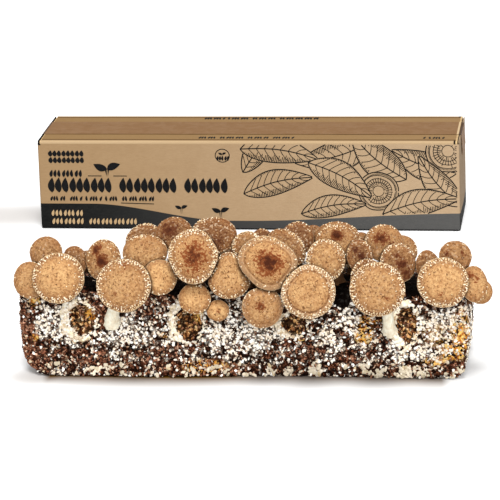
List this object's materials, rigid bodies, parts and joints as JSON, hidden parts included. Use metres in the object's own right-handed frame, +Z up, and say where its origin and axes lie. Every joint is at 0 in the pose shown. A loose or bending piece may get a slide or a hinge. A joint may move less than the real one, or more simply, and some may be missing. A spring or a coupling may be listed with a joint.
{
  "type": "shiitake mushroom grow kit",
  "caption": "Long sawdust block white with mycelium, fruiting a dense row of tan shiitake caps, with its taped kraft carton standing behind.",
  "frame": {"origin": "centre of the substrate block's underside, on the surface that the kit stands on", "axes": "+X along the block, +Y from the side that the mushrooms face towards the carton, +Z up"},
  "size_m": [0.5481, 0.5928, 0.1597],
  "materials": {
    "mycelium_block": "matte, granular, patched with white mycelium",
    "mushroom": "matt tan cap skin with pale scales, cream stem",
    "kraft_board": "matt kraft paper with a dark printed band",
    "packing_tape": "smooth satin film"
  },
  "bodies": {
    "root": {"substrate_block": "mycelium_block", "mushroom_01": "mushroom", "mushroom_02": "mushroom", "mushroom_03": "mushroom", "mushroom_04": "mushroom", "mushroom_05": "mushroom", "mushroom_06": "mushroom", "mushroom_07": "mushroom", "mushroom_08": "mushroom", "mushroom_09": "mushroom", "mushroom_10": "mushroom", "mushroom_11": "mushroom", "mushroom_12": "mushroom", "mushroom_13": "mushroom", "mushroom_14": "mushroom", "mushroom_15": "mushroom", "mushroom_16": "mushroom", "mushroom_17": "mushroom", "mushroom_18": "mushroom", "mushroom_19": "mushroom", "mushroom_20": "mushroom", "mushroom_21": "mushroom", "mushroom_22": "mushroom", "mushroom_23": "mushroom", "mushroom_24": "mushroom", "mushroom_25": "mushroom", "mushroom_26": "mushroom", "mushroom_27": "mushroom", "mushroom_28": "mushroom", "mushroom_29": "mushroom", "mushroom_30": "mushroom", "mushroom_31": "mushroom", "mushroom_32": "mushroom", "mushroom_33": "mushroom", "mushroom_34": "mushroom", "mushroom_35": "mushroom", "mushroom_36": "mushroom", "mushroom_37": "mushroom", "mushroom_38": "mushroom", "mushroom_39": "mushroom", "mushroom_40": "mushroom", "mushroom_41": "mushroom", "mushroom_42": "mushroom", "carton": "kraft_board", "packing_tape": "packing_tape"}
  },
  "joints": []
}
